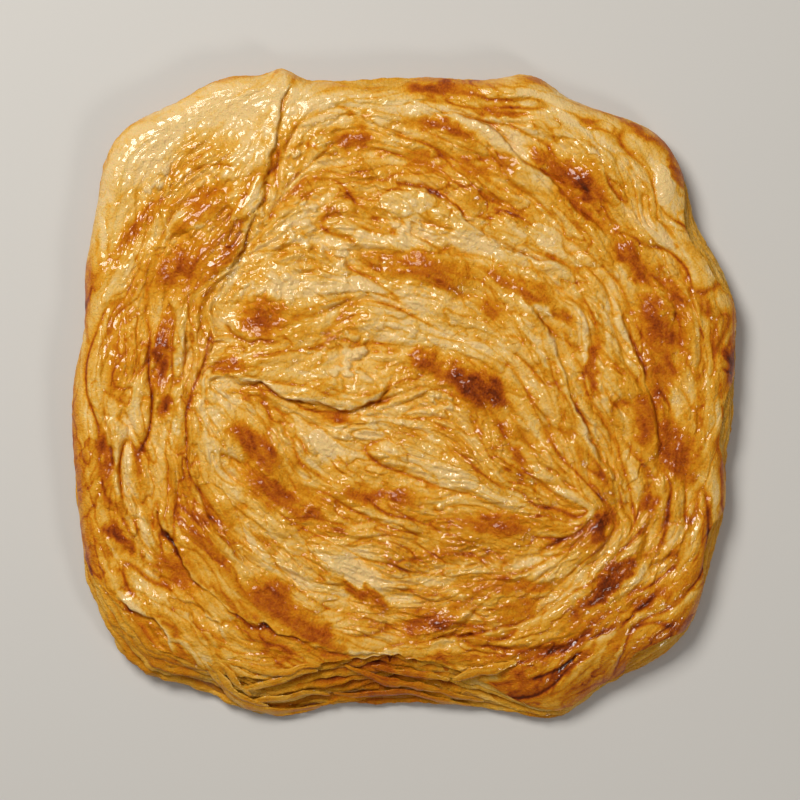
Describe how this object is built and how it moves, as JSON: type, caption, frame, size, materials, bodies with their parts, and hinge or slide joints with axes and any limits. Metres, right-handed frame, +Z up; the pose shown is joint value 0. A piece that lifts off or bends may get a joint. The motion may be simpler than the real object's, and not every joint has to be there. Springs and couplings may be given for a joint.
{
  "type": "malawah flatbread",
  "caption": "Thick rounded-square flatbread of coiled, laminated dough, with folds, blisters and a flaky layered side.",
  "frame": {"origin": "the middle of the bounding box's bottom face, on the surface the bread rests on", "axes": "+Z up through the thickness; +Y towards the folded corner's side, away from the layered side; +X to the right of that"},
  "size_m": [0.2298, 0.2246, 0.0211],
  "materials": {
    "baked_crust": "golden baked dough, satin with a film of butter"
  },
  "bodies": {
    "root": {"flatbread": "baked_crust"}
  },
  "joints": []
}
